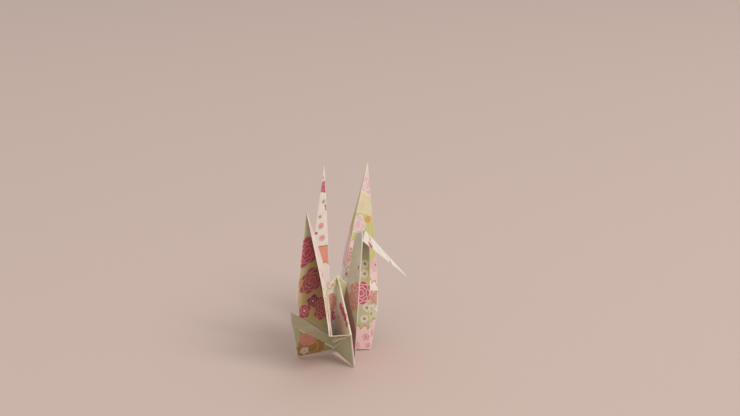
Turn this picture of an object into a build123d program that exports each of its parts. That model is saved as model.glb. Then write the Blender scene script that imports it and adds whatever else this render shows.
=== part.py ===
"""Origami crane: one square sheet, folded, standing with both wings still raised.

Every corner is worked out from the flat folding pattern of the sheet and from the angles at which
the folded flaps stand open. Seen from above, the body is four thin arms in a cross: neck and tail
rise in two of the angles between the arms, the two wings in the others. +X is the way the neck
points, -Y is the near wing, +Z is up, and the crane rests on the lower corners of its four arms.
"""

import os
from math import cos, radians, sin, tan

from build123d import *

# Sheet
sheet_side = 150.0
leg_angle = 11.25          # half of a narrowed neck or tail point
wing_angle = 22.5          # half of a wing tip
crease_drop = 7.0          # slope of the lower body edge, which sets how far the neck leans

# Thickness of each folded stack, air between the layers included
wing_stack = 0.32          # two layers
leg_stack = 0.46           # four layers
head_stack = 0.36
arm_stack = 0.90           # eight layers
flap_stack = 0.26          # the corner turned back over the side of the body
fold_bead = 0.05           # how much a rounded fold stands out beyond half its stack

# Body
arm_spread_low = 34.5      # of an arm's lower corner, from the X axis
arm_spread_high = 45.5     # of an arm's shoulder
tail_side_extra = 3.0      # the tail side stands this much wider at the shoulder, the neck side less
near_side_extra = 2.5      # the near side likewise
hump_forward = 1.8         # how far the peak of the back is pushed to the neck
spine_gap = 0.6            # from the middle of the body to the foot of the neck's or tail's spine

# Near wing: lean is away from the body, sway towards the neck
near_lean_low = 19.0
near_lean_high = 33.0
near_sway_low = 4.0
near_sway_high = 3.0
near_valley_high = 22.0    # half-angle of the valley along the wing
near_valley_neck = 24.0    # the same at the root, on the neck's side
near_valley_tail = 14.0
near_flap_flare = 0.5      # how far the turned-back corner follows its arm instead of its wing
near_flap_reach = 1.25     # its edge, as a share of the flat pattern's
near_root_on_flap = 0.82   # where the wing's edge ends on the top of the turned-back corner

# Far wing
far_lean_low = 28.0
far_lean_high = 27.0
far_sway_low = -2.0
far_sway_high = 3.0
far_valley_high = 28.0
far_valley_neck = 22.0
far_valley_tail = 26.0
far_flap_flare = 0.0

wing_bend_height = 40.5    # along the wing from its root to where the lean changes
flap_corner_height = 6.2   # of the turned-back corners' tips, up the middle of the side

# Neck, head and tail
neck_lean = 5.5
neck_twist = 13.0          # lean towards the far wing
neck_closing = -0.13       # how far the neck's two sides draw together at the head
head_fold_spine = 28.5     # from the beak's tip to the head fold, along the spine
head_fold_edge = 31.0      # the same along the neck's open edges
crown_forward = 4.4        # the crown, from the head fold
crown_rise = 1.9
beak_length = 24.0
beak_dip = 36.0
beak_turn = -15.0
tail_lean = 1.0
tail_twist = -2.0

# Rest
corner_wear = 0.12         # flat worn on the lowest corners


def unit_of(vector):
    return vector.normalized()


def across(vector, axis):
    """The part of a vector that is square to an axis, as a unit vector."""
    return unit_of(vector - axis * vector.dot(axis))


def leaning(x_angle, y_angle):
    return unit_of(Vector(tan(radians(x_angle)), tan(radians(y_angle)), 1))


# Flat folding pattern, with the middle line as Y and the neck's tip at the origin
half_diagonal = sheet_side * 2 ** 0.5 / 2
middle = sheet_side / 2


def on_leg_edge(reach, slope):
    """Point on a narrowed leg's edge where it meets the line y = reach - slope * x."""
    length = reach / (cos(radians(leg_angle)) + slope * sin(radians(leg_angle)))
    return length * sin(radians(leg_angle)), length * cos(radians(leg_angle))


wing_root_x, wing_root_y = on_leg_edge(sheet_side, 1 / tan(radians(wing_angle)))
shoulder_x, shoulder_y = on_leg_edge(half_diagonal, 1)
foot_x, foot_y = on_leg_edge(middle, tan(radians(crease_drop)))
hump_height = half_diagonal - middle
flap_edge = ((wing_root_x - shoulder_x) ** 2 + (wing_root_y - shoulder_y) ** 2) ** 0.5

core = Vector(0, 0, middle - foot_y)
hump = core + Vector(hump_forward, 0, hump_height)
spine_foot = {1: core + Vector(spine_gap, 0, 0), -1: core - Vector(spine_gap, 0, 0)}


class Arm:
    """One of the four arms; x_side is 1 on the neck's side, y_side is -1 on the near side."""

    def __init__(self, x_side, y_side):
        low = radians(arm_spread_low)
        high = radians(arm_spread_high - x_side * tail_side_extra - y_side * near_side_extra)
        self.foot = Vector(x_side * foot_x * cos(low), y_side * foot_x * sin(low), 0)
        self.shoulder = core + Vector(
            x_side * shoulder_x * cos(high), y_side * shoulder_x * sin(high), shoulder_y - middle
        )


class Wing:
    """A raised wing: a valley-folded triangle whose lean changes part of the way up."""

    def __init__(self, y_side, lean, sway, valley_high, valley_low):
        low_axis = leaning(sway[0], y_side * lean[0])
        high_axis = leaning(sway[1], y_side * lean[1])
        self.bend = core + low_axis * wing_bend_height
        self.tip = self.bend + high_axis * (middle - wing_bend_height)
        self.flap_corner = core + low_axis * flap_corner_height
        bend_axis = unit_of(low_axis + high_axis)
        bend_x = (middle - wing_bend_height) * tan(radians(wing_angle))
        self.edge = {}
        self.root = {}
        for x_side in (1, -1):
            opening = self.side_way(low_axis, x_side, y_side, valley_low[x_side])
            self.root[x_side] = core + low_axis * (wing_root_y - middle) + opening * wing_root_x
            opening = self.side_way(bend_axis, x_side, y_side, valley_high)
            self.edge[x_side] = self.bend + opening * bend_x

    @staticmethod
    def side_way(axis, x_side, y_side, half_angle):
        """Direction of one side of the valley, square to the wing's axis."""
        outward = across(Vector(0, y_side, 0), axis)
        sideways = across(Vector(x_side, 0, 0), axis)
        sideways = across(sideways, outward)
        return sideways * sin(radians(half_angle)) + outward * cos(radians(half_angle))


arms = {(x, y): Arm(x, y) for x in (1, -1) for y in (1, -1)}
near_wing = Wing(
    -1,
    (near_lean_low, near_lean_high),
    (near_sway_low, near_sway_high),
    near_valley_high,
    {1: near_valley_neck, -1: near_valley_tail},
)
far_wing = Wing(
    1,
    (far_lean_low, far_lean_high),
    (far_sway_low, far_sway_high),
    far_valley_high,
    {1: far_valley_neck, -1: far_valley_tail},
)
wings = {-1: near_wing, 1: far_wing}
flare = {(-1, -1): near_flap_flare, (1, -1): 0.0, (1, 1): far_flap_flare, (-1, 1): far_flap_flare}
reach = {(-1, -1): near_flap_reach, (1, -1): 1.0, (1, 1): 1.0, (-1, 1): 1.0}


def flap_tip(x_side, y_side):
    """Upper corner of the turned-back flap, between the arm's line and the wing's root."""
    arm = arms[x_side, y_side]
    share = flare[x_side, y_side]
    along_arm = unit_of(arm.shoulder - arm.foot)
    to_root = unit_of(wings[y_side].root[x_side] - arm.shoulder)
    way = unit_of(along_arm * share + to_root * (1 - share))
    return arm.shoulder + way * flap_edge * reach[x_side, y_side]


flap_tips = {(x, y): flap_tip(x, y) for x, y in arms}
near_top = flap_tips[-1, -1] - near_wing.flap_corner
near_wing.root[-1] = near_wing.flap_corner + near_top * near_root_on_flap


def plate(corners, stack):
    """A flat facet through its corners, half of its thickness on each side."""
    a, b, c = corners
    plane = Plane(origin=a, x_dir=b - a, z_dir=(b - a).cross(c - a))
    outline = [plane.to_local_coords(corner) for corner in corners]
    with BuildPart() as facet:
        with BuildSketch(plane):
            with BuildLine():
                Polyline([(point.X, point.Y) for point in outline], close=True)
            make_face()
        extrude(amount=stack / 2, both=True)
    return [facet.part]


def fold(points, stack):
    """Rounded folds along a run of corners, with a round joint at each corner."""
    radius = stack / 2 + fold_bead
    pieces = []
    for start, end in zip(points, points[1:]):
        with BuildPart() as bead:
            with BuildSketch(Plane(origin=start, z_dir=end - start)):
                Circle(radius)
            extrude(amount=(end - start).length)
        pieces.append(bead.part)
    for point in points:
        with BuildPart() as joint:
            with Locations(point):
                Sphere(radius)
        pieces.append(joint.part)
    return pieces


def arm_pieces(x_side, y_side):
    arm = arms[x_side, y_side]
    return (
        plate((core, arm.shoulder, hump), arm_stack)
        + plate((core, arm.foot, arm.shoulder), arm_stack)
        + fold((core, arm.foot, arm.shoulder, hump, core), arm_stack)
    )


def wing_pieces(y_side):
    wing = wings[y_side]
    corner = wing.flap_corner
    pieces = fold((wing.tip, wing.bend, corner, core), wing_stack)
    for x_side in (1, -1):
        shoulder = arms[x_side, y_side].shoulder
        root = wing.root[x_side]
        edge = wing.edge[x_side]
        flap = flap_tips[x_side, y_side]
        pieces += plate((wing.tip, wing.bend, edge), wing_stack)
        pieces += plate((wing.bend, edge, root), wing_stack)
        pieces += plate((wing.bend, root, corner), wing_stack)
        pieces += plate((corner, root, shoulder), wing_stack)
        pieces += plate((corner, flap, shoulder), flap_stack)
        pieces += fold((wing.tip, edge, root, shoulder, corner), wing_stack)
        pieces += fold((wing.bend, edge), wing_stack)
        pieces += fold((wing.bend, root, corner), wing_stack)
        pieces += fold((corner, flap, shoulder), flap_stack)
    return pieces


def leg_frame(x_side, lean, twist):
    """Axis of a leg's spine, and the way its two sides open from it."""
    axis = leaning(x_side * lean, twist)
    sides = {y: across(arms[x_side, y].foot - spine_foot[x_side], axis) for y in (1, -1)}
    return axis, sides


def neck_and_head_pieces():
    axis, sides = leg_frame(1, neck_lean, neck_twist)
    front = unit_of(sides[1] + sides[-1])
    root = spine_foot[1]
    nape = root + axis * (middle - head_fold_spine)
    heading = Vector(cos(radians(beak_turn)), sin(radians(beak_turn)), 0)
    crown = nape + heading * crown_forward + Vector(0, 0, crown_rise)
    beak_way = heading * cos(radians(beak_dip)) - Vector(0, 0, sin(radians(beak_dip)))
    beak = crown + beak_way * beak_length
    pieces = fold((root, nape), leg_stack) + fold((nape, crown, beak), head_stack)
    for y_side in (1, -1):
        opening = unit_of(sides[y_side] * (1 - neck_closing) + front * neck_closing)
        throat = root + axis * (middle - head_fold_edge * cos(radians(leg_angle)))
        throat += opening * (head_fold_edge * sin(radians(leg_angle)))
        foot = arms[1, y_side].foot
        pieces += plate((root, foot, throat), leg_stack)
        pieces += plate((root, throat, nape), leg_stack)
        pieces += plate((nape, throat, crown), head_stack)
        pieces += plate((crown, throat, beak), head_stack)
        pieces += fold((foot, throat, nape), leg_stack)
        pieces += fold((root, throat), leg_stack)
        pieces += fold((crown, throat, beak), head_stack)
    return pieces


def tail_pieces():
    axis, _ = leg_frame(-1, tail_lean, tail_twist)
    root = spine_foot[-1]
    tip = root + axis * middle
    pieces = fold((root, tip), leg_stack)
    for y_side in (1, -1):
        foot = arms[-1, y_side].foot
        pieces += plate((root, foot, tip), leg_stack)
        pieces += fold((foot, tip), leg_stack)
    return pieces


pieces = neck_and_head_pieces() + tail_pieces()
for x_side, y_side in arms:
    pieces += arm_pieces(x_side, y_side)
for y_side in wings:
    pieces += wing_pieces(y_side)

with BuildPart() as folded:
    add(pieces)
    # The feet are rounded folds, so the lowest corners lose a shaving to stand flat.
    rest_level = folded.part.bounding_box().min.Z + corner_wear
    with Locations((0, 0, rest_level)):
        Box(
            2 * sheet_side,
            2 * sheet_side,
            sheet_side,
            align=(Align.CENTER, Align.CENTER, Align.MAX),
            mode=Mode.SUBTRACT,
        )

box = folded.part.bounding_box()
crane = Location((-box.center().X, -box.center().Y, -box.min.Z)) * folded.part
crane.label = "folded_crane"

os.makedirs("parts", exist_ok=True)
export_step(crane, "parts/folded_crane.step")
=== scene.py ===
"""An origami crane in printed paper: one folded sheet, standing with both wings raised.

The corners follow the flat folding pattern of the sheet and the angles at which its flaps stand
open, as in the part's source. Each flap is a creased sheet that is subdivided, given a slow
waviness and the thickness of its folded layers, and its print follows the sheet through a UV map
in centimetres. Directions: +X the way the neck points, -Y the near wing, +Z up.
"""

from math import atan, cos, pi, radians, sin, tan

import bpy
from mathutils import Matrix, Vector


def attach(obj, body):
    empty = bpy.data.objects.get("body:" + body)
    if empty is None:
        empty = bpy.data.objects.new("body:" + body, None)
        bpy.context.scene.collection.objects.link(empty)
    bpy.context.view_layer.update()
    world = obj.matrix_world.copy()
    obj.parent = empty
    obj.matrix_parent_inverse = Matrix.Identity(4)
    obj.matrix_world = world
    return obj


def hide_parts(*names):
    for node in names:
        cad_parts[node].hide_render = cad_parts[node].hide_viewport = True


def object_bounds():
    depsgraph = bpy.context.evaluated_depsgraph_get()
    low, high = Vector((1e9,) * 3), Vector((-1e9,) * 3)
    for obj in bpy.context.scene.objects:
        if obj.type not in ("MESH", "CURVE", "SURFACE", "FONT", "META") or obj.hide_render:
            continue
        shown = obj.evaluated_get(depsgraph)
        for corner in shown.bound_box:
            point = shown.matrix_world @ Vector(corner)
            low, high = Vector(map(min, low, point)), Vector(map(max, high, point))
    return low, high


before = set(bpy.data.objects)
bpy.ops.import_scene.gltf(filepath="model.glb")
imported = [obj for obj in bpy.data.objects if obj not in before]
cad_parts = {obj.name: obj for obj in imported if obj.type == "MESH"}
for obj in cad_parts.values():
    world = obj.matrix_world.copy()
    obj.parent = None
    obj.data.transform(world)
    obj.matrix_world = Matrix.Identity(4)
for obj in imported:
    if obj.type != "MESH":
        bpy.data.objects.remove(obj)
cad_low, cad_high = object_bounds()
for stray in bpy.context.selected_objects:
    stray.select_set(False)

MM = 0.001
CM_OF_M = 100.0

# ---------------------------------------------------------------- the folded sheet, in millimetres
SHEET_SIDE = 150.0
LEG_ANGLE = radians(11.25)
WING_ANGLE = radians(22.5)
CREASE_DROP = radians(7.0)
HALF_DIAGONAL = SHEET_SIDE * 2 ** 0.5 / 2
MIDDLE = SHEET_SIDE / 2

WING_STACK = 0.32
LEG_STACK = 0.46
HEAD_STACK = 0.36
ARM_STACK = 0.90
FLAP_STACK = 0.26
FOLD_BEAD = 0.05

ARM_SPREAD_LOW = radians(34.5)
ARM_SPREAD_HIGH = 45.5
TAIL_SIDE_EXTRA = 3.0
NEAR_SIDE_EXTRA = 2.5
HUMP_FORWARD = 1.8
SPINE_GAP = 0.6

WING_BEND_HEIGHT = 40.5
FLAP_CORNER_HEIGHT = 6.2
WINGS = {
    -1: {"lean": (19, 33), "sway": (4, 3), "valley_high": 22, "valley_low": {1: 24, -1: 14}},
    1: {"lean": (28, 27), "sway": (-2, 3), "valley_high": 28, "valley_low": {1: 22, -1: 26}},
}
FLAP_FLARE = {(-1, -1): 0.5, (1, -1): 0.0, (1, 1): 0.0, (-1, 1): 0.0}
NEAR_FLAP_REACH = 1.25
NEAR_ROOT_ON_FLAP = 0.82
NEAR_LIP = Vector((1.6, -3.4, -0.5))
NECK_BOW = 3.6
FLAP_LIFT = 0.45

NECK_LEAN, NECK_TWIST, NECK_CLOSING = 5.5, 13.0, -0.13
HEAD_FOLD_SPINE = 28.5
HEAD_FOLD_EDGE = {-1: 27.0, 1: 31.0}
CROWN_FORWARD, CROWN_RISE = 4.4, 1.9
BEAK_LENGTH, BEAK_DIP, BEAK_TURN = 24.0, radians(36), radians(-15)
TAIL_LEAN, TAIL_TWIST = 1.0, -2.0


def across(vector, axis):
    return (vector - axis * vector.dot(axis)).normalized()


def leaning(x_angle, y_angle):
    return Vector((tan(radians(x_angle)), tan(radians(y_angle)), 1)).normalized()


def on_leg_edge(reach, slope):
    length = reach / (cos(LEG_ANGLE) + slope * sin(LEG_ANGLE))
    return length * sin(LEG_ANGLE), length * cos(LEG_ANGLE)


ROOT_X, ROOT_Y = on_leg_edge(SHEET_SIDE, 1 / tan(WING_ANGLE))
SHOULDER_X, SHOULDER_Y = on_leg_edge(HALF_DIAGONAL, 1)
FOOT_X, FOOT_Y = on_leg_edge(MIDDLE, tan(CREASE_DROP))
HUMP_HEIGHT = HALF_DIAGONAL - MIDDLE
BEND_X = (MIDDLE - WING_BEND_HEIGHT) * tan(WING_ANGLE)

CORE = Vector((0, 0, MIDDLE - FOOT_Y))
HUMP = CORE + Vector((HUMP_FORWARD, 0, HUMP_HEIGHT))
SPINE_FOOT = {1: CORE + Vector((SPINE_GAP, 0, 0)), -1: CORE - Vector((SPINE_GAP, 0, 0))}


def arm_corners(x_side, y_side):
    high = radians(ARM_SPREAD_HIGH - x_side * TAIL_SIDE_EXTRA - y_side * NEAR_SIDE_EXTRA)
    low = ARM_SPREAD_LOW
    foot = Vector((x_side * FOOT_X * cos(low), y_side * FOOT_X * sin(low), 0))
    shoulder = CORE + Vector(
        (x_side * SHOULDER_X * cos(high), y_side * SHOULDER_X * sin(high), SHOULDER_Y - MIDDLE)
    )
    return foot, shoulder


FOOT, SHOULDER = {}, {}
for x_side in (1, -1):
    for y_side in (1, -1):
        FOOT[x_side, y_side], SHOULDER[x_side, y_side] = arm_corners(x_side, y_side)


def wing_corners(y_side):
    make = WINGS[y_side]
    low_axis = leaning(make["sway"][0], y_side * make["lean"][0])
    high_axis = leaning(make["sway"][1], y_side * make["lean"][1])
    bend_axis = (low_axis + high_axis).normalized()
    bend = CORE + low_axis * WING_BEND_HEIGHT
    corners = {
        "bend": bend,
        "tip": bend + high_axis * (MIDDLE - WING_BEND_HEIGHT),
        "flap_corner": CORE + low_axis * FLAP_CORNER_HEIGHT,
    }

    def side_way(axis, x_side, half_angle):
        outward = across(Vector((0, y_side, 0)), axis)
        sideways = across(across(Vector((x_side, 0, 0)), axis), outward)
        return sideways * sin(radians(half_angle)) + outward * cos(radians(half_angle))

    for x_side in (1, -1):
        opening = side_way(low_axis, x_side, make["valley_low"][x_side])
        corners["root", x_side] = CORE + low_axis * (ROOT_Y - MIDDLE) + opening * ROOT_X
        opening = side_way(bend_axis, x_side, make["valley_high"])
        corners["edge", x_side] = bend + opening * BEND_X
        shoulder = SHOULDER[x_side, y_side]
        along_arm = (shoulder - FOOT[x_side, y_side]).normalized()
        to_root = (corners["root", x_side] - shoulder).normalized()
        share = FLAP_FLARE[x_side, y_side]
        flap_edge = Vector((ROOT_X - SHOULDER_X, ROOT_Y - SHOULDER_Y)).length
        if (x_side, y_side) == (-1, -1):
            flap_edge *= NEAR_FLAP_REACH
        way = (along_arm * share + to_root * (1 - share)).normalized()
        corners["flap", x_side] = shoulder + way * flap_edge
    if y_side == -1:
        corners["flap", 1] = corners["flap_corner"] + NEAR_LIP
        top = corners["flap", -1] - corners["flap_corner"]
        corners["root", -1] = corners["flap_corner"] + top * NEAR_ROOT_ON_FLAP
    return corners


NECK_AXIS = leaning(NECK_LEAN, NECK_TWIST)
NECK_SIDE = {y: across(FOOT[1, y] - SPINE_FOOT[1], NECK_AXIS) for y in (1, -1)}
NECK_FRONT = (NECK_SIDE[1] + NECK_SIDE[-1]).normalized()
NAPE = SPINE_FOOT[1] + NECK_AXIS * (MIDDLE - HEAD_FOLD_SPINE)
HEADING = Vector((cos(BEAK_TURN), sin(BEAK_TURN), 0))
CROWN = NAPE + HEADING * CROWN_FORWARD + Vector((0, 0, CROWN_RISE))
BEAK = CROWN + (HEADING * cos(BEAK_DIP) - Vector((0, 0, sin(BEAK_DIP)))) * BEAK_LENGTH
THROAT = {}
for y_side in (1, -1):
    opening = (NECK_SIDE[y_side] * (1 - NECK_CLOSING) + NECK_FRONT * NECK_CLOSING).normalized()
    THROAT[y_side] = SPINE_FOOT[1] + NECK_AXIS * (MIDDLE - HEAD_FOLD_EDGE[y_side] * cos(LEG_ANGLE))
    THROAT[y_side] += opening * (HEAD_FOLD_EDGE[y_side] * sin(LEG_ANGLE))
# The head's near side hangs a little lower than the neck's own near edge.
HEAD_THROAT = {1: THROAT[1]}
HEAD_THROAT[-1] = THROAT[-1] + (FOOT[1, -1] - THROAT[-1]).normalized() * (HEAD_FOLD_EDGE[1] - HEAD_FOLD_EDGE[-1])
TAIL_AXIS = leaning(-TAIL_LEAN, TAIL_TWIST)
TAIL_TIP = SPINE_FOOT[-1] + TAIL_AXIS * MIDDLE

BOW_WAY = Vector((0.35, -0.88, 0.31))

NEAR, FAR = wing_corners(-1), wing_corners(1)

# The frame's box ends at the beak, the far wing's tip and the tail's tip, each with its rounded fold.
SHIFT = Vector(
    (
        cad_high[0] / MM - BEAK.x - HEAD_STACK / 2 - FOLD_BEAD,
        cad_high[1] / MM - FAR["tip"].y - WING_STACK / 2 - FOLD_BEAD,
        cad_high[2] / MM - TAIL_TIP.z - LEG_STACK / 2 - FOLD_BEAD,
    )
)

# ---------------------------------------------------------------- where each point of the flat sheet goes
# Flat places are (distance from the middle crease, height above the core) in millimetres.
FLAT_ROOT = (ROOT_X, ROOT_Y - MIDDLE)
FLAT_SHOULDER = (SHOULDER_X, SHOULDER_Y - MIDDLE)
FLAT_FOOT = (FOOT_X, FOOT_Y - MIDDLE)
FLAT_LEG_FOOT = (FOOT_X, MIDDLE - FOOT_Y)
FLAT_CORNER = (0.0, FLAP_CORNER_HEIGHT)
FLAT_TIP = (0.0, MIDDLE)
FLAT_HUMP = (0.0, HUMP_HEIGHT)
FLAT_CORE = (0.0, 0.0)
FLAT_THROAT = {
    y_side: (edge * sin(LEG_ANGLE), MIDDLE - edge * cos(LEG_ANGLE)) for y_side, edge in HEAD_FOLD_EDGE.items()
}
FLAT_NAPE = (0.0, MIDDLE - HEAD_FOLD_SPINE)
FLAT_CROWN = (0.0, MIDDLE - BEAK_LENGTH)
BEND_SOFTNESS = 13.0


def shares(point, triangle):
    """How much of each corner of a flat triangle a flat point is made of."""
    (ax, ay), (bx, by), (cx, cy) = triangle
    area = (by - cy) * (ax - cx) + (cx - bx) * (ay - cy)
    first = ((by - cy) * (point[0] - cx) + (cx - bx) * (point[1] - cy)) / area
    second = ((cy - ay) * (point[0] - cx) + (ax - cx) * (point[1] - cy)) / area
    return first, second, 1 - first - second


def creased(*facets):
    """Place function of a sheet made of flat facets; a facet is three (flat, folded) corners."""

    def place(u, v):
        best = max(facets, key=lambda facet: min(shares((u, v), [corner[0] for corner in facet])))
        parts = shares((u, v), [corner[0] for corner in best])
        return sum((corner[1] * part for corner, part in zip(best, parts)), Vector())

    return place


def wing_place(y_side, x_side):
    """Place function of one half of a wing, which bends along its length above its root."""
    make = WINGS[y_side]
    wing = NEAR if y_side == -1 else FAR
    low_axis = leaning(make["sway"][0], y_side * make["lean"][0])
    high_axis = leaning(make["sway"][1], y_side * make["lean"][1])
    low_open = (wing["root", x_side] - CORE - low_axis * FLAT_ROOT[1]) / ROOT_X
    high_open = (wing["edge", x_side] - wing["bend"]) / BEND_X
    shoulder = SHOULDER[x_side, y_side]
    base = creased(
        ((FLAT_CORNER, wing["flap_corner"]), (FLAT_ROOT, wing["root", x_side]), (FLAT_SHOULDER, shoulder)),
        ((FLAT_CORNER, wing["flap_corner"]), (FLAT_CORE, CORE), (FLAT_SHOULDER, shoulder)),
    )
    slope = (FLAT_ROOT[1] - FLAT_CORNER[1]) / FLAT_ROOT[0]

    def place(u, v):
        if v < FLAT_CORNER[1] + slope * u - 1e-6:
            return base(u, v)
        start = WING_BEND_HEIGHT - BEND_SOFTNESS
        along = min(max((v - start) / (2 * BEND_SOFTNESS), 0), 1)
        valley = CORE + low_axis * v
        if along == 1:
            valley = wing["bend"] + high_axis * (v - WING_BEND_HEIGHT)
        elif along > 0:
            turn = 2 * BEND_SOFTNESS * (along ** 3 - along ** 4 / 2)
            valley = CORE + low_axis * v + (high_axis - low_axis) * turn
        rise = min(max((v - FLAT_ROOT[1]) / (WING_BEND_HEIGHT - FLAT_ROOT[1]), 0), 1)
        rise = rise * rise * (3 - 2 * rise)
        return valley + (low_open * (1 - rise) + high_open * rise) * u

    return place


def neck_place(y_side):
    """The neck is bowed outwards between its foot and the head, where the body pushes on it."""
    foot, throat = FOOT[1, y_side], THROAT[y_side]
    straight = creased(
        ((FLAT_CORE, SPINE_FOOT[1]), (FLAT_LEG_FOOT, foot), (FLAT_THROAT[y_side], throat)),
        ((FLAT_CORE, SPINE_FOOT[1]), (FLAT_THROAT[y_side], throat), (FLAT_NAPE, NAPE)),
    )

    def place(u, v):
        foot_v = FLAT_LEG_FOOT[1] * u / FLAT_LEG_FOOT[0]
        throat_u, throat_v = FLAT_THROAT[y_side]
        top_v = FLAT_NAPE[1] + (throat_v - FLAT_NAPE[1]) * u / throat_u
        along = min(max((v - foot_v) / (top_v - foot_v), 0), 1)
        return straight(u, v) + BOW_WAY * (NECK_BOW * 4 * along * (1 - along))

    return place


def head_place(y_side):
    return creased(
        ((FLAT_NAPE, NAPE), (FLAT_THROAT[1], HEAD_THROAT[y_side]), (FLAT_CROWN, CROWN)),
        ((FLAT_CROWN, CROWN), (FLAT_THROAT[1], HEAD_THROAT[y_side]), (FLAT_TIP, BEAK)),
    )


def nape_place(y_side):
    return creased(((FLAT_NAPE, NAPE), (FLAT_THROAT[y_side], THROAT[y_side]), (FLAT_CROWN, CROWN)))


def tail_place(y_side):
    return creased(((FLAT_CORE, SPINE_FOOT[-1]), (FLAT_LEG_FOOT, FOOT[-1, y_side]), (FLAT_TIP, TAIL_TIP)))


def arm_place(x_side, y_side):
    foot, shoulder = FOOT[x_side, y_side], SHOULDER[x_side, y_side]
    return creased(
        ((FLAT_CORE, CORE), (FLAT_FOOT, foot), (FLAT_SHOULDER, shoulder)),
        ((FLAT_CORE, CORE), (FLAT_SHOULDER, shoulder), (FLAT_HUMP, HUMP)),
    )


def flap_place(x_side, y_side):
    """The turned-back corner lies on the foot of its wing."""
    wing = NEAR if y_side == -1 else FAR
    lift = Vector((0, y_side * FLAP_LIFT, 0))
    return creased(
        (
            (FLAT_CORNER, wing["flap_corner"] + lift),
            (FLAT_SHOULDER, SHOULDER[x_side, y_side] + lift),
            (FLAT_ROOT, wing["flap", x_side] + lift),
        )
    )


# ---------------------------------------------------------------- cutting and folding the sheets
CELL = 1.6
FOLD_ROUND = 0.22
SEAM_GAP = 0.16
PAPER = 0.11
UV_SCALE = 0.01


def flat_outline(name, outline, creases):
    """A flat sheet cut to a convex outline, with an extra row of vertices along each crease."""
    xs = [corner[0] for corner in outline]
    ys = [corner[1] for corner in outline]
    wide, high = max(xs) - min(xs) + 2, max(ys) - min(ys) + 2
    middle = ((max(xs) + min(xs)) / 2, (max(ys) + min(ys)) / 2)
    bpy.ops.mesh.primitive_grid_add(
        x_subdivisions=max(2, round(wide / CELL)), y_subdivisions=max(2, round(high / CELL)), size=1
    )
    sheet = bpy.context.object
    sheet.name = name
    bpy.ops.object.mode_set(mode="EDIT")
    bpy.ops.mesh.select_all(action="SELECT")
    bpy.ops.transform.resize(value=(wide, high, 1))
    bpy.ops.transform.translate(value=(middle[0], middle[1], 0))
    for start, end in creases:
        across_line = (end[1] - start[1], start[0] - end[0], 0)
        bpy.ops.mesh.select_all(action="SELECT")
        bpy.ops.mesh.bisect(plane_co=(*start, 0), plane_no=across_line)
    for start, end in zip(outline, outline[1:] + outline[:1]):
        outward = Vector((end[1] - start[1], start[0] - end[0], 0)).normalized()
        inner_row = Vector((*start, 0)) - outward * FOLD_ROUND
        bpy.ops.mesh.select_all(action="SELECT")
        bpy.ops.mesh.bisect(plane_co=inner_row, plane_no=outward)
        bpy.ops.mesh.select_all(action="SELECT")
        bpy.ops.mesh.bisect(plane_co=(*start, 0), plane_no=outward, clear_outer=True)
    bpy.ops.mesh.select_all(action="SELECT")
    bpy.ops.mesh.remove_doubles(threshold=0.02)
    bpy.ops.object.mode_set(mode="OBJECT")
    return sheet


def line_distance(point, start, end):
    run = Vector(end) - Vector(start)
    along = (Vector(point) - Vector(start)).dot(run) / run.length_squared
    return (Vector(point) - Vector(start) - run * min(max(along, 0), 1)).length


def waviness(u, v, seed):
    """Slow undulation of handled paper, in millimetres."""
    slow = sin(u * 0.31 + v * 0.17 + seed * 1.9) * sin(v * 0.13 - u * 0.11 + seed * 2.7)
    return 0.6 * slow + 0.4 * sin(u * 0.47 - v * 0.29 + seed * 4.1)


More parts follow.
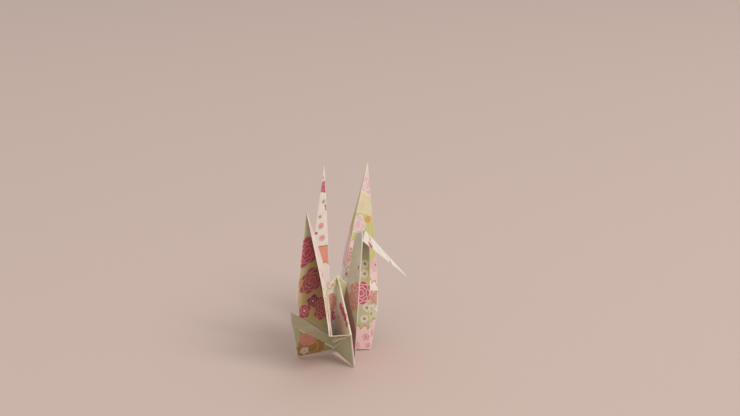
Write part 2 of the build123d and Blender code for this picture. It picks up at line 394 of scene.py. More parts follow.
def leaf(name, side, outline, creases, place, folds, gap, inks, bulge=0.0, seed=0.0, seam=True, buried=()):
    """One half of a folded flap: two layers of paper that meet along the folded edges.

    side is 1 or -1, the half of the flap; inks are the prints of the outer and the inner layer.
    With a seam, the two halves' outer layers meet at the middle crease in raw edges, and their
    inner layers run on across it.
    """
    layers = (1, -1)
    flat = flat_outline(name, outline, creases)
    coords = [vertex.co.copy() for vertex in flat.data.vertices]
    polygons = [tuple(polygon.vertices) for polygon in flat.data.polygons]
    bpy.data.objects.remove(flat)

    folded, step = [], 0.05
    centre = Vector((sum(c[0] for c in outline) / len(outline), sum(c[1] for c in outline) / len(outline)))
    for co in coords:
        u, v = co.x, co.y
        inward = (centre - Vector((u, v))).normalized() * step
        mid = (u + inward.x, v + inward.y)
        here = place(*mid)
        across_u = place(mid[0] + step / 2, mid[1]) - place(mid[0] - step / 2, mid[1])
        across_v = place(mid[0], mid[1] + step / 2) - place(mid[0], mid[1] - step / 2)
        normal = across_u.cross(across_v).normalized() * side
        near_fold = min((line_distance((u, v), *fold) for fold in folds), default=99.0)
        near_rest = min(line_distance((u, v), *edge) for edge in zip(outline, outline[1:] + outline[:1]))
        # Edges that whiten in the print: partly real wear, partly a painted highlight along lit folds; edges
        # buried in the body stay clear.
        whitened_edges = [edge for edge in zip(outline, outline[1:] + outline[:1]) if edge not in buried]
        near_whitened_edge = min(line_distance((u, v), *edge) for edge in whitened_edges)
        free = min(near_rest / 6, 1)
        wave = bulge * waviness(u * side, v, seed) * free * free * (3 - 2 * free)
        folded.append((place(u, v) + normal * wave, normal, near_fold, near_whitened_edge, (u * side, v)))

    verts, faces, uvs, ink = [], [], [], []
    for layer in layers:
        first = len(verts)
        for point, normal, near_fold, _, (u, v) in folded:
            if seam and abs(u) < FOLD_ROUND / 2:
                near_fold = near_fold if layer == 1 else 0
                point = place(SEAM_GAP, v) if layer == 1 else point
            verts.append((point + normal * (layer * gap * min(near_fold / FOLD_ROUND, 1)) + SHIFT) * MM)
        for polygon in polygons:
            order = polygon if layer * side > 0 else polygon[::-1]
            faces.append([first + index for index in order])
            uvs += [folded[index][4] for index in order]
            ink.append(0 if layer == 1 else 1)
    mesh = bpy.data.meshes.new(name)
    mesh.from_pydata(verts, [], faces)
    edge_wear_and_highlight = mesh.attributes.new("fold_distance", "FLOAT", "POINT")
    edge_wear_and_highlight.data.foreach_set("value", [entry[3] for _ in layers for entry in folded])
    uv_layer = mesh.uv_layers.new(name="sheet")
    uv_layer.data.foreach_set("uv", [value * UV_SCALE for uv in uvs for value in uv])
    for material in inks:
        mesh.materials.append(material)
    mesh.polygons.foreach_set("material_index", ink)
    piece = bpy.data.objects.new(name, mesh)
    bpy.context.scene.collection.objects.link(piece)
    return piece


def only(*pieces):
    bpy.ops.object.select_all(action="DESELECT")
    for piece in pieces:
        piece.select_set(True)
    bpy.context.view_layer.objects.active = pieces[0]


def thicken(name, leaves, paper=PAPER):
    """Join the leaves of one flap, close their folds and give the paper its thickness."""
    only(*leaves)
    if len(leaves) > 1:
        bpy.ops.object.join()
    flap = bpy.context.object
    flap.name = name
    flap.data.materials.append(BARE_PAPER)
    bpy.ops.object.mode_set(mode="EDIT")
    bpy.ops.mesh.select_all(action="SELECT")
    bpy.ops.mesh.remove_doubles(threshold=0.00002)
    bpy.ops.object.mode_set(mode="OBJECT")
    thickness = flap.modifiers.new("paper", "SOLIDIFY")
    thickness.thickness = paper * MM
    thickness.offset = 0
    thickness.material_offset = len(flap.data.materials) - 1
    thickness.material_offset_rim = len(flap.data.materials) - 1
    bpy.ops.object.modifier_apply(modifier="paper")
    bpy.ops.object.shade_smooth_by_angle(angle=radians(24))
    return flap


# ---------------------------------------------------------------- printing inks and paper
CREAM = (0.80, 0.715, 0.62)
PALE_YELLOW = (0.68, 0.58, 0.36)
PALE_GREEN = (0.50, 0.475, 0.315)
LIME = (0.56, 0.52, 0.20)
# Painted shade: this olive is the darker look of the green paper where it lies in shade, put into the print.
OLIVE_PAINTED_SHADE = (0.42, 0.36, 0.15)
CRIMSON = (0.64, 0.12, 0.18)
MAROON = (0.50, 0.15, 0.16)
PURPLE = (0.36, 0.07, 0.19)
SALMON = (0.74, 0.32, 0.22)
LIGHT_PINK = (0.82, 0.56, 0.54)
WARM_PINK = (0.80, 0.40, 0.40)
ORANGE = (0.72, 0.38, 0.14)
GOLD_BROWN = (0.46, 0.25, 0.075)
PAPER_WHITE = (0.86, 0.80, 0.73)


class Recipe:
    """Adds nodes to one tree; a value may be a number, a colour or another node's output."""

    def __init__(self, tree):
        self.tree = tree

    def node(self, kind, **settings):
        node = self.tree.nodes.new(kind)
        for key, value in settings.items():
            setattr(node, key, value)
        return node

    def feed(self, socket, value):
        if isinstance(value, bpy.types.NodeSocket):
            self.tree.links.new(value, socket)
        elif isinstance(value, tuple) and socket.type == "RGBA":
            socket.default_value = (*value, 1)
        else:
            socket.default_value = value

    def math(self, operation, *values, clamp=False):
        node = self.node("ShaderNodeMath", operation=operation, use_clamp=clamp)
        for socket, value in zip(node.inputs, values):
            self.feed(socket, value)
        return node.outputs[0]

    def step(self, value, edge, softness):
        """0 below the edge and 1 above it, with a soft border."""
        node = self.node("ShaderNodeMapRange", interpolation_type="SMOOTHSTEP")
        self.feed(node.inputs["Value"], value)
        self.feed(node.inputs["From Min"], edge - softness)
        self.feed(node.inputs["From Max"], edge + softness)
        return node.outputs["Result"]

    def mix(self, factor, under, over):
        node = self.node("ShaderNodeMix", data_type="RGBA")
        self.feed(node.inputs[0], factor)
        self.feed(node.inputs[6], under)
        self.feed(node.inputs[7], over)
        return node.outputs[2]

    def noise(self, vector, scale, detail=2.0, roughness=0.5):
        node = self.node("ShaderNodeTexNoise")
        self.feed(node.inputs["Vector"], vector)
        self.feed(node.inputs["Scale"], scale)
        self.feed(node.inputs["Detail"], detail)
        self.feed(node.inputs["Roughness"], roughness)
        return node.outputs["Fac"]


def petal_edge(recipe, angle, petals, depth):
    """Radius of a lobed outline at an angle, 1 at the tips of its petals."""
    lobe = recipe.math("ABSOLUTE", recipe.math("SINE", recipe.math("MULTIPLY", angle, petals / 2)))
    return recipe.math("ADD", recipe.math("MULTIPLY", lobe, depth), 1 - depth)


def flower_group(name, rings, petals, depth, line, heart):
    """A printed flower: rings of petals with pale outlines, and a heart.

    Its inputs are the place on the sheet, the flower's centre, radius and turn; its outputs say
    how much of the petals' ink, of the pale lines and of the heart's ink there is.
    """
    group = bpy.data.node_groups.new(name, "ShaderNodeTree")
    for socket, kind in (("Place", "Vector"), ("Centre", "Vector"), ("Radius", "Float"), ("Turn", "Float")):
        group.interface.new_socket(socket, in_out="INPUT", socket_type=f"NodeSocket{kind}")
    for socket in ("Petals", "Lines", "Heart"):
        group.interface.new_socket(socket, in_out="OUTPUT", socket_type="NodeSocketFloat")
    recipe = Recipe(group)
    given = recipe.node("NodeGroupInput").outputs
    result = recipe.node("NodeGroupOutput").inputs
    offset = recipe.node("ShaderNodeVectorMath", operation="SUBTRACT")
    recipe.feed(offset.inputs[0], given["Place"])
    recipe.feed(offset.inputs[1], given["Centre"])
    split = recipe.node("ShaderNodeSeparateXYZ")
    recipe.feed(split.inputs[0], offset.outputs[0])
    angle = recipe.math("ADD", recipe.math("ARCTAN2", split.outputs[1], split.outputs[0]), given["Turn"])
    length = recipe.node("ShaderNodeVectorMath", operation="LENGTH")
    recipe.feed(length.inputs[0], offset.outputs[0])
    reach = recipe.math("DIVIDE", length.outputs["Value"], given["Radius"])
    lines = None
    for ring in range(rings):
        size = 1 - ring / rings
        turned = recipe.math("ADD", angle, ring * pi / petals)
        edge = recipe.math("MULTIPLY", petal_edge(recipe, turned, petals, depth), size)
        inside = recipe.math("SUBTRACT", edge, reach)
        if ring == 0:
            recipe.feed(result["Petals"], recipe.step(inside, 0.0, 0.04))
            near_edge = recipe.math("ABSOLUTE", recipe.math("SUBTRACT", inside, line * 0.6))
        else:
            near_edge = recipe.math("ABSOLUTE", inside)
        band = recipe.math("SUBTRACT", 1.0, recipe.step(near_edge, line * 0.62, line * 0.5))
        lines = band if lines is None else recipe.math("MAXIMUM", lines, band)
    within = recipe.step(recipe.math("SUBTRACT", 1.0, reach), 0.0, 0.05)
    recipe.feed(result["Lines"], recipe.math("MULTIPLY", lines, within))
    recipe.feed(result["Heart"], recipe.step(recipe.math("SUBTRACT", heart, reach), 0.0, 0.06))
    return group


FLOWERS = {
    "peony": flower_group("peony", 4, 7, 0.17, 0.055, 0.1),
    "blossom": flower_group("blossom", 2, 5, 0.26, 0.07, 0.16),
    "ring": flower_group("ring flower", 1, 6, 0.2, 0.001, 0.36),
    "cloud": flower_group("cloud", 2, 11, 0.12, 0.03, 0.01),
    "dot": flower_group("dot", 1, 5, 0.1, 0.001, 0.01),
}


def paper_surface(recipe, colour, place, grain=1.0):
    """Uncoated paper: short fibres in the surface, faint mottling, and a gloss that varies with the mottling."""
    scattered = recipe.noise(place, 420.0, 3.0, 0.6)
    mottled = recipe.noise(place, 34.0, 3.0, 0.55)
    stretch = recipe.node("ShaderNodeMapping")
    recipe.feed(stretch.inputs["Vector"], place)
    stretch.inputs["Scale"].default_value = (1.0, 0.22, 1.0)
    stretch.inputs["Rotation"].default_value = (0, 0, 0.6)
    fibres = recipe.noise(stretch.outputs[0], 300.0, 2.0, 0.7)
    shade = recipe.node("ShaderNodeMapRange")
    recipe.feed(shade.inputs["Value"], mottled)
    recipe.feed(shade.inputs["From Min"], 0.25)
    recipe.feed(shade.inputs["From Max"], 0.75)
    recipe.feed(shade.inputs["To Min"], 0.93)
    recipe.feed(shade.inputs["To Max"], 1.05)
    speck = recipe.node("ShaderNodeMapRange")
    recipe.feed(speck.inputs["Value"], fibres)
    recipe.feed(speck.inputs["From Min"], 0.3)
    recipe.feed(speck.inputs["From Max"], 0.7)
    recipe.feed(speck.inputs["To Min"], 0.955)
    recipe.feed(speck.inputs["To Max"], 1.04)
    tone = recipe.node("ShaderNodeVectorMath", operation="SCALE")
    recipe.feed(tone.inputs[0], colour)
    recipe.feed(tone.inputs["Scale"], recipe.math("MULTIPLY", shade.outputs[0], speck.outputs[0]))
    shader = recipe.tree.nodes["Principled BSDF"]
    recipe.feed(shader.inputs["Base Color"], tone.outputs[0])
    rough = recipe.math("ADD", recipe.math("MULTIPLY", mottled, 0.2), 0.66, clamp=True)
    recipe.feed(shader.inputs["Roughness"], rough)
    shader.inputs["Specular IOR Level"].default_value = 0.3
    height = recipe.math("ADD", scattered, recipe.math("MULTIPLY", fibres, 0.8))
    bump = recipe.node("ShaderNodeBump")
    bump.inputs["Strength"].default_value = 0.28 * grain
    bump.inputs["Distance"].default_value = 0.0001
    recipe.feed(bump.inputs["Height"], height)
    recipe.feed(shader.inputs["Normal"], bump.outputs[0])


def bare_paper():
    material = bpy.data.materials.new("bare paper")
    material.use_nodes = True
    recipe = Recipe(material.node_tree)
    place = recipe.node("ShaderNodeUVMap", uv_map="sheet").outputs[0]
    tint = recipe.mix(recipe.noise(place, 60.0), PAPER_WHITE, (0.78, 0.72, 0.60))
    paper_surface(recipe, tint, place)
    return material


def printed(name, ground, fields=(), flowers=(), edge_wear_and_highlight=0.7, wear_and_highlight_reach=0.3):
    """The print on one face of a flap; places and sizes are millimetres on the flat sheet.

    A field is (colour, (u, v), slope, lobe, outline): all that lies below a line through (u, v)
    that rises by slope, with lobes of that height and an outline colour or None.
    A flower is (kind, u, v, radius, ink, line ink, heart ink).
    """
    material = bpy.data.materials.new(name)
    material.use_nodes = True
    recipe = Recipe(material.node_tree)
    place = recipe.node("ShaderNodeUVMap", uv_map="sheet").outputs[0]
    wander = recipe.node("ShaderNodeTexNoise")
    recipe.feed(wander.inputs["Vector"], place)
    wander.inputs["Scale"].default_value = 22.0
    shift = recipe.node("ShaderNodeVectorMath", operation="MULTIPLY_ADD")
    recipe.feed(shift.inputs[0], wander.outputs["Color"])
    shift.inputs[1].default_value = (0.009, 0.009, 0)
    shift.inputs[2].default_value = (-0.0045, -0.0045, 0)
    drawn = recipe.node("ShaderNodeVectorMath", operation="ADD")
    recipe.feed(drawn.inputs[0], place)
    recipe.feed(drawn.inputs[1], shift.outputs[0])
    hand = drawn.outputs[0]
    split = recipe.node("ShaderNodeSeparateXYZ")
    recipe.feed(split.inputs[0], hand)
    across_sheet, up_sheet = split.outputs[0], split.outputs[1]

    first, second = ground
    blend = recipe.step(recipe.noise(place, 7.0, 1.0), 0.5, 0.16)
    colour = recipe.mix(blend, first, second)
    for field_ink, (u, v), slope, lobe, outline in fields:
        run = recipe.math("MULTIPLY", recipe.math("SUBTRACT", across_sheet, u * UV_SCALE), slope)
        rise = recipe.math("SUBTRACT", recipe.math("ADD", run, v * UV_SCALE), up_sheet)
        if lobe:
            along = recipe.math("MULTIPLY", across_sheet, 3.2 / (lobe * UV_SCALE) / 2)
            if abs(slope) > 2:
                along = recipe.math("MULTIPLY", up_sheet, 3.2 / (lobe * UV_SCALE) / 2)
            scallop = recipe.math("ABSOLUTE", recipe.math("SINE", along))
            rise = recipe.math("ADD", rise, recipe.math("MULTIPLY", scallop, lobe * UV_SCALE * max(1, abs(slope))))
        soft = 0.0016 * max(1, abs(slope))
        if outline:
            border = recipe.step(rise, -0.005 * max(1, abs(slope)), soft)
            colour = recipe.mix(border, colour, outline)
        colour = recipe.mix(recipe.step(rise, 0.0, soft), colour, field_ink)
    for turn, (kind, u, v, radius, petal_ink, line_ink, heart_ink) in enumerate(flowers):
        flower = recipe.node("ShaderNodeGroup")
        flower.node_tree = FLOWERS[kind]
        recipe.feed(flower.inputs["Place"], hand)
        flower.inputs["Centre"].default_value = (u * UV_SCALE, v * UV_SCALE, 0)
        flower.inputs["Radius"].default_value = radius * UV_SCALE
        flower.inputs["Turn"].default_value = turn * 1.7
        deep = tuple(channel * 0.72 for channel in petal_ink)
        petal = recipe.mix(recipe.noise(place, 55.0), petal_ink, deep)
        colour = recipe.mix(flower.outputs["Petals"], colour, petal)
        colour = recipe.mix(recipe.math("MULTIPLY", flower.outputs["Lines"], 0.75), colour, line_ink)
        colour = recipe.mix(flower.outputs["Heart"], colour, heart_ink)

    # Fold edges whiten towards bare paper: partly real wear that shows the paper's white core, partly a painted
    # highlight where the folds catch the light.
    edge_distance_for_wear_and_highlight = recipe.node("ShaderNodeAttribute", attribute_name="fold_distance")
    patchy = recipe.noise(place, 130.0, 3.0, 0.6)
    reach = recipe.math("ADD", edge_distance_for_wear_and_highlight.outputs["Fac"], recipe.math("MULTIPLY", patchy, 0.34))
    edge_whitening_wear_and_highlight = recipe.math("MULTIPLY", recipe.math("SUBTRACT", 1.0, recipe.step(reach, wear_and_highlight_reach, 0.16)), edge_wear_and_highlight)
    colour = recipe.mix(edge_whitening_wear_and_highlight, colour, PAPER_WHITE)
    paper_surface(recipe, colour, place)
    return material


BARE_PAPER = bare_paper()

PALE_TIP = (0.68, 0.635, 0.47)
SHADED_GREEN = (0.60, 0.545, 0.40)
MAUVE = (0.47, 0.27, 0.24)
ARM_FACET_SLOPE = FLAT_SHOULDER[1] / FLAT_SHOULDER[0]


def peony(u, v, radius, petals, lines=WARM_PINK, heart=MAROON):
    return ("peony", u, v, radius, petals, lines, heart)


def blossom(u, v, radius, petals, lines=LIGHT_PINK, heart=CREAM):
    return ("blossom", u, v, radius, petals, lines, heart)


def ring_flower(u, v, radius=1.7, petals=CREAM, heart=GOLD_BROWN):
    return ("ring", u, v, radius, petals, petals, heart)


def spot(u, v, radius, petals):
    return ("dot", u, v, radius, petals, petals, petals)


def panel_below_hump(x_side, paper):
    """The side panel, below the line from the core to the shoulder."""
    return (paper, FLAT_CORE, x_side * ARM_FACET_SLOPE, 0, None)


PRINTS = {
    "near wing outside": printed(
        "near wing outside",
        (PALE_TIP, PALE_TIP),
        fields=[
            (PALE_YELLOW, (0.0, 62.0), 0.1, 0, None),
            # Painted shadow: right of this diagonal the ground is the darker lime, where the wing's neck-side half
            # casts its shadow; the pale yellow strip left of it is the lit part.
            (LIME, (-9.0, 44.0), 1.7, 0, None),
            (PALE_GREEN, (-10.0, 18.5), -0.55, 0, None),
        ],
        flowers=[
            peony(-4.9, 56.4, 7.0, CRIMSON),
            peony(-6.6, 41.4, 6.6, MAROON, heart=CRIMSON),
            blossom(-9.8, 30.0, 4.0, PURPLE, WARM_PINK),
            peony(-5.0, 23.8, 6.0, MAROON, heart=CRIMSON),
            blossom(-16.4, 27.4, 4.6, CRIMSON),
            blossom(-12.4, 45.0, 2.2, ORANGE, PALE_YELLOW, GOLD_BROWN),
            blossom(-0.6, 34.0, 3.4, PURPLE, WARM_PINK, CRIMSON),
            peony(9.0, 35.0, 6.4, CRIMSON, LIGHT_PINK),
            ring_flower(5.0, 49.0, 2.0),
            ring_flower(14.0, 24.0, 2.0),
            blossom(4.5, 20.0, 4.0, SALMON, CREAM, CRIMSON),
        ],
    ),
    "near wing inside": printed(
        "near wing inside",
        (CREAM, LIGHT_PINK),
        fields=[
            (PALE_YELLOW, (0.0, 33.0), 0.4, 1.4, GOLD_BROWN),
            (CREAM, (0.0, 27.0), 0.4, 1.4, SALMON),
        ],
        flowers=[
            blossom(-5.0, 50.0, 3.4, CRIMSON),
            blossom(12.4, 29.0, 3.6, SALMON, CREAM, CRIMSON),
            blossom(15.5, 22.0, 3.4, CRIMSON),
            spot(11.2, 43.0, 0.7, CRIMSON),
            spot(8.4, 50.5, 0.6, CRIMSON),
            ring_flower(7.0, 46.0, 1.4, LIGHT_PINK, CRIMSON),
            peony(-9.0, 33.0, 6.0, MAROON),
            peony(3.4, 16.0, 4.4, MAROON),
            ring_flower(-14.0, 24.0, 2.2),
        ],
    ),
    "far wing inside": printed(
        "far wing inside",
        (PALE_TIP, PALE_TIP),
        fields=[
            (PALE_YELLOW, (0.0, 62.5), 0.0, 0, None),
            (LIME, (0.0, 54.6), 0.0, 0, None),
            (LIGHT_PINK, (0.0, 42.5), 0.55, 1.6, ORANGE),
            (CREAM, (0.0, 31.0), 0.2, 1.6, GOLD_BROWN),
        ],
        flowers=[
            blossom(-3.0, 66.2, 4.4, LIGHT_PINK, CREAM, WARM_PINK),
            spot(-6.4, 53.0, 1.5, ORANGE),
            spot(-12.4, 55.5, 1.0, MAROON),
            blossom(-1.8, 49.8, 4.2, LIGHT_PINK, CREAM, WARM_PINK),
            blossom(-1.0, 37.4, 3.2, SALMON, CREAM, WARM_PINK),
            blossom(-15.4, 36.0, 3.2, LIGHT_PINK, WARM_PINK, CRIMSON),
            peony(-18.4, 21.5, 4.6, SALMON, CREAM, WARM_PINK),
            ring_flower(6.0, 28.0, 2.0),
            ring_flower(-0.4, 29.6, 1.6, LIGHT_PINK, CRIMSON),
        ],
    ),
    "far wing outside": printed(
        "far wing outside",
        (PALE_TIP, PALE_TIP),
        fields=[
            # Painted shade: the olive band stands for the shade on the strip of this face that turns away from the
            # light.
            (OLIVE_PAINTED_SHADE, (0.0, 62.0), 0.0, 0, None),
            (PALE_YELLOW, (0.0, 38.0), 0.9, 1.6, GOLD_BROWN),
            (PALE_GREEN, (0.0, 18.0), 0.4, 0, None),
        ],
        flowers=[
            peony(-5.0, 50.0, 6.0, CRIMSON, LIGHT_PINK),
            peony(8.0, 34.0, 6.4, MAROON, heart=CRIMSON),
            blossom(-10.0, 30.0, 4.4, SALMON, CREAM, CRIMSON),
            blossom(3.4, 24.0, 3.6, PURPLE, WARM_PINK),
            ring_flower(3.0, 58.0, 1.6),
            ring_flower(-15.0, 25.0, 1.8),
            blossom(15.0, 24.5, 4.2, CRIMSON),
        ],
    ),
    "tail outside": printed(
        "tail outside",
        (CREAM, CREAM),
        fields=[
            (SALMON, (0.0, 43.2), 0.12, 0, GOLD_BROWN),
            (CREAM, (0.0, 34.8), 0.5, 1.4, MAROON),
        ],
        flowers=[
            blossom(0.7, 66.6, 2.4, CRIMSON, WARM_PINK, MAROON),
            spot(0.9, 70.2, 0.4, CRIMSON),
            ring_flower(0.9, 61.0, 1.0, PALE_TIP, MAROON),
            ring_flower(2.5, 55.7, 0.9, PALE_TIP, MAROON),
            blossom(2.4, 52.0, 1.3, WARM_PINK, LIGHT_PINK, CRIMSON),
            blossom(2.2, 46.9, 1.3, WARM_PINK, LIGHT_PINK, CRIMSON),
            blossom(-0.9, 58.6, 1.8, CRIMSON),
            spot(4.4, 49.6, 0.6, MAROON),
            peony(8.0, 22.0, 5.0, CRIMSON),
        ],
    ),
    "tail inside": printed(
        "tail inside",
        (PALE_YELLOW, CREAM),
        fields=[(LIME, (0.0, 40.0), 0.3, 0, None), (LIGHT_PINK, (0.0, 16.0), 0.3, 1.6, GOLD_BROWN)],
        flowers=[
            blossom(3.0, 52.0, 2.8, CRIMSON),
            peony(-6.0, 30.0, 5.0, MAROON),
            ring_flower(4.0, 36.0),
            ring_flower(7.0, 25.0),
            blossom(9.0, 9.0, 3.0, WARM_PINK, CREAM, CRIMSON),
            blossom(-9.0, 11.0, 3.0, WARM_PINK, CREAM, CRIMSON),
        ],
    ),
    "neck outside": printed(
        "neck outside",
        (SHADED_GREEN, PALE_TIP),
        fields=[(MAUVE, (-10.5, 15.5), 1.0, 0, None)],
        flowers=[
            peony(-8.3, 25.0, 5.6, SALMON, LIGHT_PINK, WARM_PINK),
            spot(-6.2, 35.4, 0.5, CRIMSON),
            spot(-13.2, 13.6, 0.8, CRIMSON),
            blossom(6.0, 34.0, 3.4, CRIMSON),
            ring_flower(8.0, 22.0),
            ring_flower(10.0, 14.0),
        ],
        # Stronger and wider whitening on the neck's edges: partly wear, partly a painted highlight on its lit fold
        # edge.
        edge_wear_and_highlight=0.9,
        wear_and_highlight_reach=0.5,
    ),
    "neck inside": printed(
        "neck inside",
        (LIME, PALE_GREEN),
        fields=[(LIGHT_PINK, (10.0, 9.4), 0.05, 1.5, GOLD_BROWN)],
        flowers=[
            ring_flower(5.8, 35.0),
            ring_flower(6.4, 31.2),
            peony(6.4, 23.6, 5.0, CRIMSON, CREAM, CRIMSON),
            ring_flower(9.8, 18.4),
            ring_flower(9.6, 13.8),
            ring_flower(3.0, 16.0),
            blossom(11.6, 6.4, 1.7, WARM_PINK, CREAM, CRIMSON),
            blossom(13.2, 3.0, 1.5, WARM_PINK, CREAM, CRIMSON),
            blossom(8.0, 2.6, 1.9, WARM_PINK, CREAM, CRIMSON),
            ring_flower(-6.0, 28.0),
        ],
    ),
    "head outside": printed(
        "head outside",
        (CREAM, CREAM),
        fields=[
            (CREAM, (0.0, 60.4), -1.6, 1.1, CRIMSON),
            (CREAM, (0.0, 52.4), 0.3, 1.1, MAROON),
        ],
        flowers=[spot(-4.2, 51.0, 1.1, CRIMSON), blossom(4.0, 52.0, 1.6, CRIMSON)],
    ),
    "head inside": printed("head inside", (CREAM, PALE_YELLOW)),
    "near arm by the neck wing side": printed(
        "near arm by the neck wing side",
        (LIME, LIME),
        fields=[
            (PALE_TIP, (0.0, 27.5), -0.3, 0, None),
            panel_below_hump(1, PALE_GREEN),
        ],
        flowers=[
            spot(5.9, 20.6, 1.5, CRIMSON),
            spot(8.4, 19.4, 1.9, CRIMSON),
            spot(10.8, 18.2, 1.7, CRIMSON),
            blossom(13.0, 16.2, 1.6, CRIMSON, WARM_PINK, MAROON),
spot(13.0, 1.2, 0.5, WARM_PINK),
            ring_flower(3.6, 15.0, 1.3, LIGHT_PINK, CRIMSON),
        ],
    ),
    "near arm by the tail wing side": printed(
        "near arm by the tail wing side",
        (LIME, LIME),
        fields=[
            (CREAM, (0.0, 25.4), 0.0, 0.8, None),
            # Painted shade: the panel below the hump is printed olive for the shadow that the neck and chest cast
            # on it.
            panel_below_hump(-1, OLIVE_PAINTED_SHADE),
            (PALE_GREEN, (-14.0, 4.0), -9.0, 0, None),
        ],
        flowers=[
            ring_flower(-2.0, 27.6, 1.8, CREAM, ORANGE),
            peony(-2.6, 20.4, 3.8, SALMON, LIGHT_PINK, WARM_PINK),
            peony(-3.6, 14.4, 3.4, CRIMSON, LIGHT_PINK, MAROON),
            ("cloud", -9.6, 2.6, 6.0, GOLD_BROWN, PALE_YELLOW, GOLD_BROWN),
            spot(-10.9, 7.0, 3.7, SALMON),
            blossom(-12.0, 1.2, 1.9, LIGHT_PINK, CREAM, CRIMSON),
        ],
    ),
    "far arm by the neck leg side": printed(
        "far arm by the neck leg side",
        (LIME, PALE_YELLOW),
        fields=[(LIGHT_PINK, (-15.8, 9.0), 0.0, 1.5, GOLD_BROWN)],
        flowers=[
            ring_flower(-15.0, 12.8, 1.5),
            ring_flower(-12.0, 15.5),
            blossom(-14.6, 5.0, 1.6, WARM_PINK, CREAM, CRIMSON),
            ring_flower(-4.0, 22.0),
        ],
    ),
    "body": printed(
        "body",
        (PALE_YELLOW, PALE_GREEN),
        fields=[(LIME, (0.0, 16.0), 0.35, 0, None), (LIGHT_PINK, (0.0, 4.0), 0.2, 1.5, GOLD_BROWN)],
        flowers=[
            peony(-10.0, 11.0, 4.2, CRIMSON, LIGHT_PINK),
            peony(9.0, 12.0, 4.4, MAROON, heart=CRIMSON),
            ring_flower(4.0, 8.0),
            ring_flower(-4.0, 18.0),
            blossom(12.6, 3.6, 2.2, SALMON, CREAM, CRIMSON),
        ],
    ),
    "near flap by the neck": printed("near flap by the neck", (CREAM, PALE_TIP)),
    "nape outside": printed("nape outside", (SHADED_GREEN, PALE_TIP)),
    # Painted shade: the inside of the neck's top is olive for the shade inside the neck's V under the head.
    "nape inside": printed("nape inside", (OLIVE_PAINTED_SHADE, PALE_GREEN)),
    "plain green": printed("plain green", (PALE_GREEN, SHADED_GREEN)),
}


def ink(name):
    """The print of a face, or that of the whole flap, of a turned-back corner or of the body."""
    if name in PRINTS:
        return PRINTS[name]
    flap = name.rsplit(" ", 1)[0]
    if flap in PRINTS:
        return PRINTS[flap]
    return PRINTS["plain green" if " flap " in name else "body"]


# ---------------------------------------------------------------- the flaps
def wing(name, y_side):
    leaves = []
    for x_side in (1, -1):
        side = -x_side * y_side
        leaves.append(
            leaf(
                f"{name}_{x_side}",
                side,
                [FLAT_CORE, FLAT_SHOULDER, FLAT_ROOT, FLAT_TIP],
                [(FLAT_CORNER, FLAT_SHOULDER), (FLAT_CORNER, FLAT_ROOT)],
                wing_place(y_side, x_side),
                [(FLAT_ROOT, FLAT_TIP), (FLAT_SHOULDER, FLAT_ROOT), (FLAT_CORE, FLAT_SHOULDER)],
                0.09,
                (ink(f"{name} outside"), ink(f"{name} inside")),
                bulge=0.22,
                seed=2.0 + y_side + x_side * 0.3,
                buried=[(FLAT_CORE, FLAT_SHOULDER)],
            )
        )
    return thicken(name, leaves)


def turned_back_flap(name, x_side, y_side):
    place = flap_place(x_side, y_side)
    rise = (place(0, 7.2) - place(0, 6.2)).cross(place(1, 6.2) - place(0, 6.2)).y
    side = -1 if rise * y_side > 0 else 1
    flat = [FLAT_CORNER, FLAT_SHOULDER, FLAT_ROOT]
    folds = [(FLAT_CORNER, FLAT_SHOULDER), (FLAT_CORNER, FLAT_ROOT)]
    inks = (ink(f"{name} outside"), ink(f"{name} inside"))
    return thicken(name, [leaf(name, side, flat, [], place, folds, 0.07, inks, bulge=0.12, seam=False)])


def arm(name, x_side, y_side):
    flat = [FLAT_CORE, FLAT_FOOT, FLAT_SHOULDER, FLAT_HUMP]
    folds = [(FLAT_CORE, FLAT_FOOT), (FLAT_FOOT, FLAT_SHOULDER), (FLAT_SHOULDER, FLAT_HUMP)]
    inks = (ink(f"{name} wing side"), ink(f"{name} leg side"))
    place = arm_place(x_side, y_side)
    creases = [(FLAT_CORE, FLAT_SHOULDER)]
    half = leaf(name, -x_side * y_side, flat, creases, place, folds, 0.3, inks, bulge=0.1, seam=False, buried=[(FLAT_HUMP, FLAT_CORE)])
    return thicken(name, [half])


def leg(name, outline_of, creases_of, place_of, folds_of, turn, bulge):
    leaves = []
    for y_side in (1, -1):
        leaves.append(
            leaf(
                f"{name}_{y_side}",
                turn * y_side,
                outline_of(y_side),
                creases_of(y_side),
                place_of(y_side),
                folds_of(y_side),
                0.1,
                (ink(f"{name} inside"), ink(f"{name} outside")),
                bulge,
                3.0,
            )
        )
    return thicken(name, leaves)


flaps = [wing("near wing", -1), wing("far wing", 1)]
for x_side, x_name in ((1, "neck"), (-1, "tail")):
    for y_side, y_name in ((-1, "near"), (1, "far")):
        flaps.append(turned_back_flap(f"{y_name} flap by the {x_name}", x_side, y_side))
        flaps.append(arm(f"{y_name} arm by the {x_name}", x_side, y_side))
flaps.append(
    leg(
        "neck",
        lambda y: [FLAT_CORE, FLAT_LEG_FOOT, FLAT_THROAT[y], FLAT_NAPE],
        lambda y: [(FLAT_CORE, FLAT_THROAT[y])],
        neck_place,
        lambda y: [(FLAT_LEG_FOOT, FLAT_THROAT[y]), (FLAT_CORE, FLAT_LEG_FOOT)],
        1,
        0.15,
    )
)
flaps.append(
    leg(
        "head",
        lambda y: [FLAT_CROWN if y == -1 else FLAT_NAPE, FLAT_THROAT[1], FLAT_TIP],
        lambda y: [(FLAT_THROAT[1], FLAT_CROWN)] if y == 1 else [],
        head_place,
        lambda y: [(FLAT_THROAT[1], FLAT_TIP), (FLAT_NAPE, FLAT_THROAT[1])],
        1,
        0.05,
    )
)
flaps.append(
    leg(
        "nape",
        lambda y: [FLAT_NAPE, FLAT_THROAT[y], FLAT_CROWN],
        lambda y: [],
        nape_place,
        lambda y: [(FLAT_THROAT[y], FLAT_CROWN)],
        1,
        0.0,
    )
)
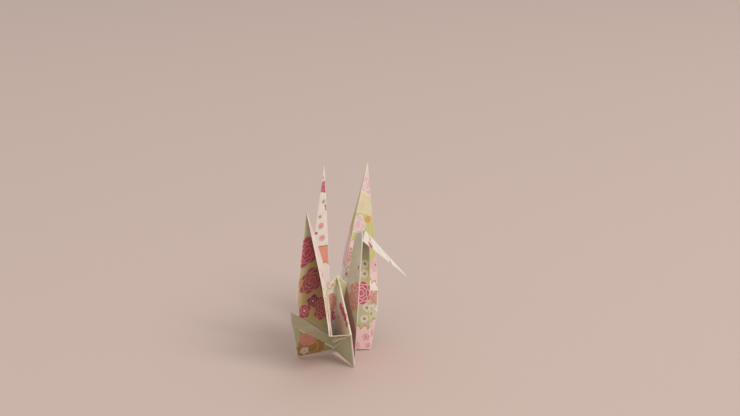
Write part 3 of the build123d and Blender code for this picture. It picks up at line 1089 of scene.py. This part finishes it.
flaps.append(
    leg(
        "tail",
        lambda y: [FLAT_CORE, FLAT_LEG_FOOT, FLAT_TIP],
        lambda y: [],
        tail_place,
        lambda y: [(FLAT_LEG_FOOT, FLAT_TIP), (FLAT_CORE, FLAT_LEG_FOOT)],
        -1,
        0.18,
    )
)

only(*flaps)
bpy.ops.object.join()
crane = bpy.context.object
crane.name = "folded_sheet"
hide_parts("folded_crane")
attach(crane, "root")

# ---------------------------------------------------------------- floor, light and camera
bpy.ops.mesh.primitive_plane_add(size=6.0, location=(0, 0, 0))
floor = bpy.context.object
floor.name = "floor"
floor_paper = bpy.data.materials.new("backdrop paper")
floor_paper.use_nodes = True
floor_shader = floor_paper.node_tree.nodes["Principled BSDF"]
floor_shader.inputs["Base Color"].default_value = (0.60, 0.455, 0.392, 1)
floor_shader.inputs["Roughness"].default_value = 0.9
floor.data.materials.append(floor_paper)

CAMERA_AZIMUTH, CAMERA_HEIGHT_ANGLE = radians(23.7), radians(26.2)
CAMERA_DISTANCE = 2.703 * SHEET_SIDE
VIEW_AZIMUTH, VIEW_PITCH = radians(21.5), radians(18.2)


def aimed(azimuth, height):
    """Unit vector towards a viewer; azimuth 0 is in front of the near wing."""
    return Vector((sin(azimuth) * cos(height), -cos(azimuth) * cos(height), sin(height)))


camera_data = bpy.data.cameras.new("camera")
camera_data.lens = 50
camera_data.sensor_width = 36
camera_data.clip_start = 0.01
camera = bpy.data.objects.new("camera", camera_data)
bpy.context.scene.collection.objects.link(camera)
camera.location = (aimed(CAMERA_AZIMUTH, CAMERA_HEIGHT_ANGLE) * CAMERA_DISTANCE + SHIFT) * MM
camera.rotation_euler = aimed(VIEW_AZIMUTH, VIEW_PITCH).to_track_quat("Z", "Y").to_euler()
bpy.context.scene.camera = camera


def soft_light(name, azimuth, height, distance, size, power):
    lamp_data = bpy.data.lights.new(name, "AREA")
    lamp_data.shape = "DISK"
    lamp_data.size = size
    lamp_data.energy = power
    lamp = bpy.data.objects.new(name, lamp_data)
    bpy.context.scene.collection.objects.link(lamp)
    way = aimed(radians(azimuth), radians(height))
    lamp.location = way * distance
    lamp.rotation_euler = way.to_track_quat("Z", "Y").to_euler()
    return lamp


soft_light("window", 70, 44, 3.0, 1.3, 44)
world = bpy.data.worlds.new("room")
bpy.context.scene.world = world
world.use_nodes = True
world.node_tree.nodes["Background"].inputs["Color"].default_value = (1, 1, 1, 1)
world.node_tree.nodes["Background"].inputs["Strength"].default_value = 0.66
bpy.context.scene.view_settings.view_transform = "Standard"
